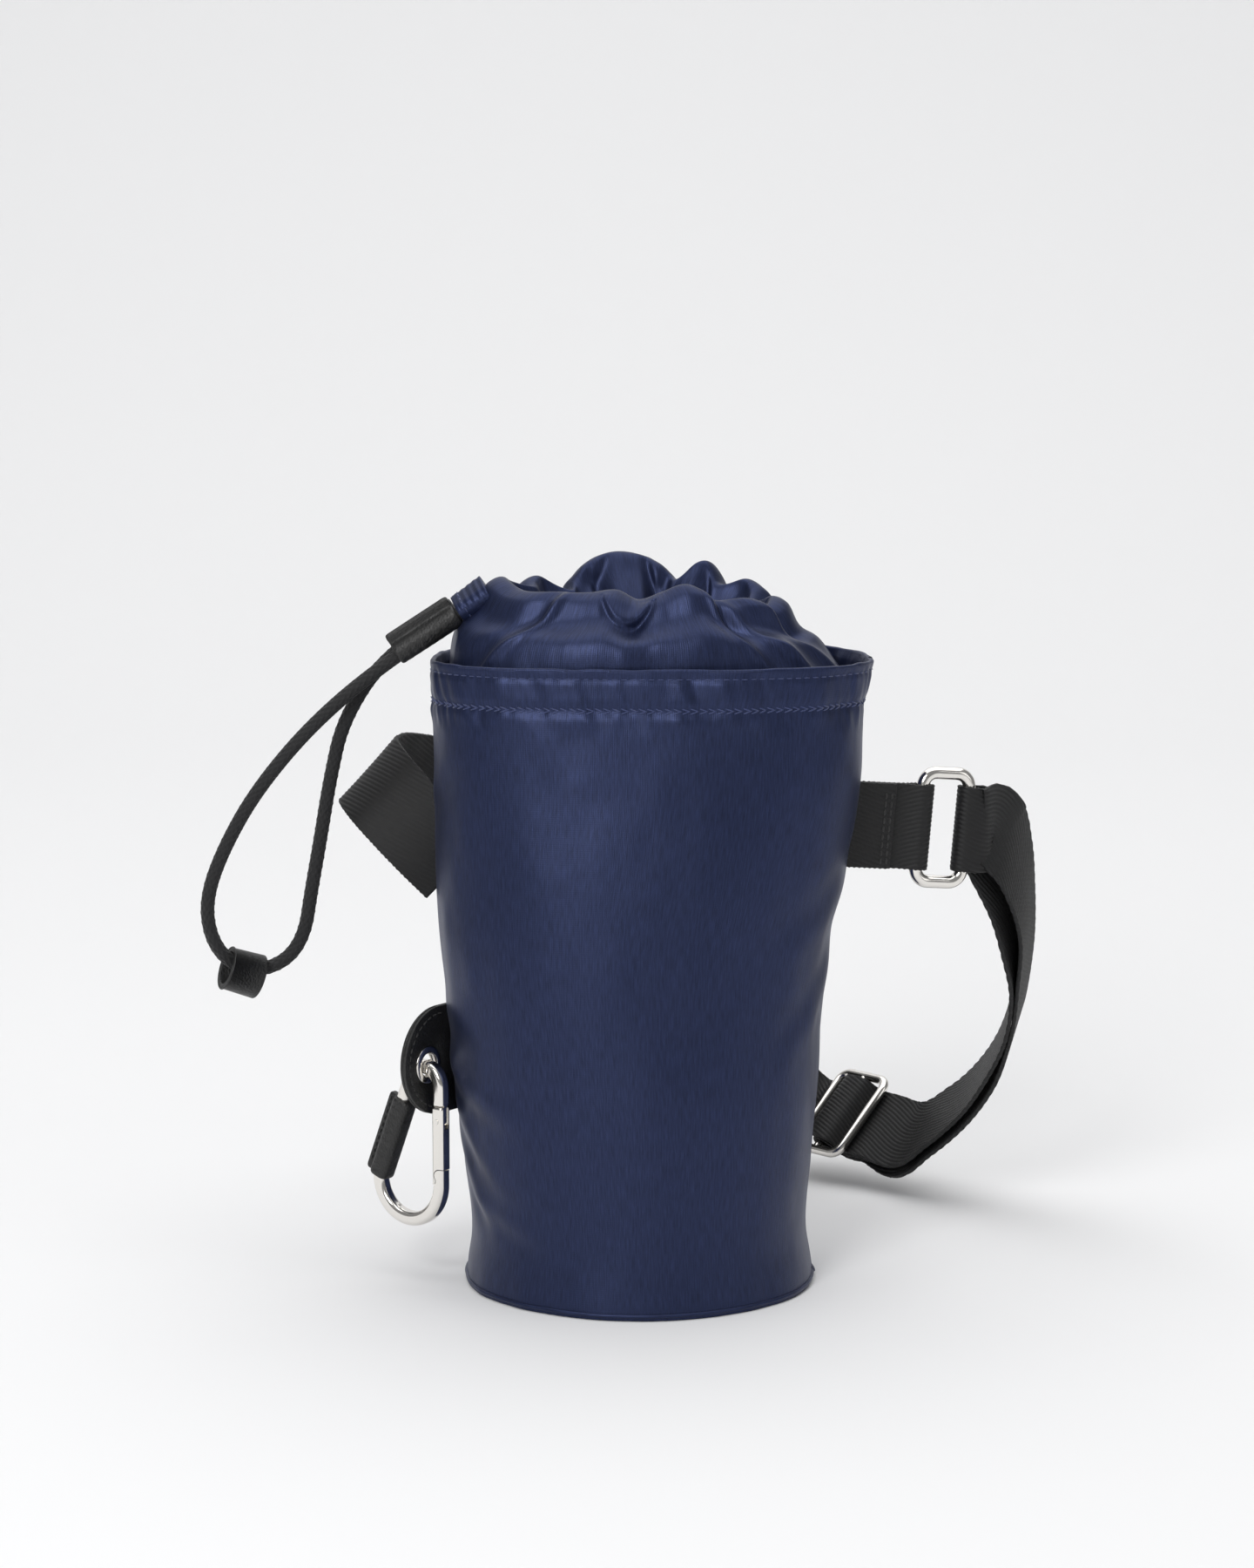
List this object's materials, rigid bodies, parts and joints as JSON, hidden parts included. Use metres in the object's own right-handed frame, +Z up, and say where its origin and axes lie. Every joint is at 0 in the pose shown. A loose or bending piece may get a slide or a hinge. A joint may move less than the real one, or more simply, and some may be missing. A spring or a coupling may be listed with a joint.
{
  "type": "drawstring bucket bag",
  "caption": "Small upright round-bottomed satin nylon bag with a gathered drawstring top, elastic pull cord, leather tab with carabiner, and an adjustable webbing shoulder strap.",
  "frame": {"origin": "middle of the flat base, where the bag meets the floor", "axes": "+Z up, +Y to the back of the bag, +X to the side with the strap ring"},
  "size_m": [0.3126, 0.2512, 0.264],
  "materials": {
    "navy_nylon": "navy satin nylon with a fine vertical weave",
    "dark_lining": "smooth dark lining",
    "base_board": "stiffening board, hidden",
    "elastic_cord": "black braided elastic",
    "black_leather": "fine cross-grained black leather",
    "polished_nickel": "polished nickel",
    "black_webbing": "ribbed black webbing"
  },
  "bodies": {
    "bag": {"front_panel": "navy_nylon", "back_panel": "navy_nylon", "rim_facing": "navy_nylon", "lining_tube": "dark_lining", "base_panel": "navy_nylon", "base_board": "base_board", "lining_base": "dark_lining", "drawstring_collar": "navy_nylon", "cord_casing": "navy_nylon", "casing_end": "navy_nylon", "drawcord_in_casing": "elastic_cord", "drawcord_loop": "elastic_cord", "tab_front_leather": "black_leather", "tab_back_leather": "black_leather", "tab_eyelet": "polished_nickel", "eyelet_washer": "polished_nickel", "ring_tab": "black_webbing", "strap_webbing": "black_webbing"},
    "carabiner": {"carabiner_hook": "polished_nickel", "gate_pin": "polished_nickel", "carabiner_sleeve": "black_leather"},
    "gate": {"carabiner_gate": "polished_nickel", "gate_plunger": "polished_nickel", "gate_spring": "polished_nickel"},
    "cord_lock": {"cord_lock_sleeve": "black_leather"},
    "pull_bead": {"pull_bead": "black_leather"},
    "strap_ring": {"strap_ring": "polished_nickel"},
    "strap_slider": {"strap_slider": "polished_nickel"}
  },
  "joints": [
    {"name": "carabiner_swing", "type": "hinge", "parent": "bag", "child": "carabiner", "pos_m": [-0.0782, -0.012, 0.0813], "axis": [0.8, -0.6, 0], "range_deg": [-70, 5]},
    {"name": "gate_hinge", "type": "hinge", "parent": "carabiner", "child": "gate", "pos_m": [-0.0726, -0.0162, 0.0619], "axis": [0.6, 0.8, 0], "range_deg": [0, 25], "stiffness_Nm_per_rad": 0.02, "springref_deg": -17.19},
    {"name": "cord_lock_slide", "type": "slide", "parent": "bag", "child": "cord_lock", "axis": [-0.8371, 0, -0.5471], "range_m": [0, 0.016], "deforming": ["drawcord_loop"]},
    {"name": "pull_bead_spin", "type": "hinge", "parent": "bag", "child": "pull_bead", "pos_m": [-0.1454, -0.0016, 0.1144], "axis": [0.8834, 0.3354, -0.3272], "continuous": true},
    {"name": "strap_ring_swing", "type": "hinge", "parent": "bag", "child": "strap_ring", "pos_m": [0.1026, 0.0112, 0.1662], "axis": [0.0847, 0.0199, 0.9962], "range_deg": [-20, 20], "deforming": ["strap_webbing"]},
    {"name": "strap_slider_slide", "type": "slide", "parent": "bag", "child": "strap_slider", "axis": [-0.6331, 0.7739, -0.0135], "range_m": [-0.01, 0.01], "deforming": ["strap_webbing"]}
  ]
}
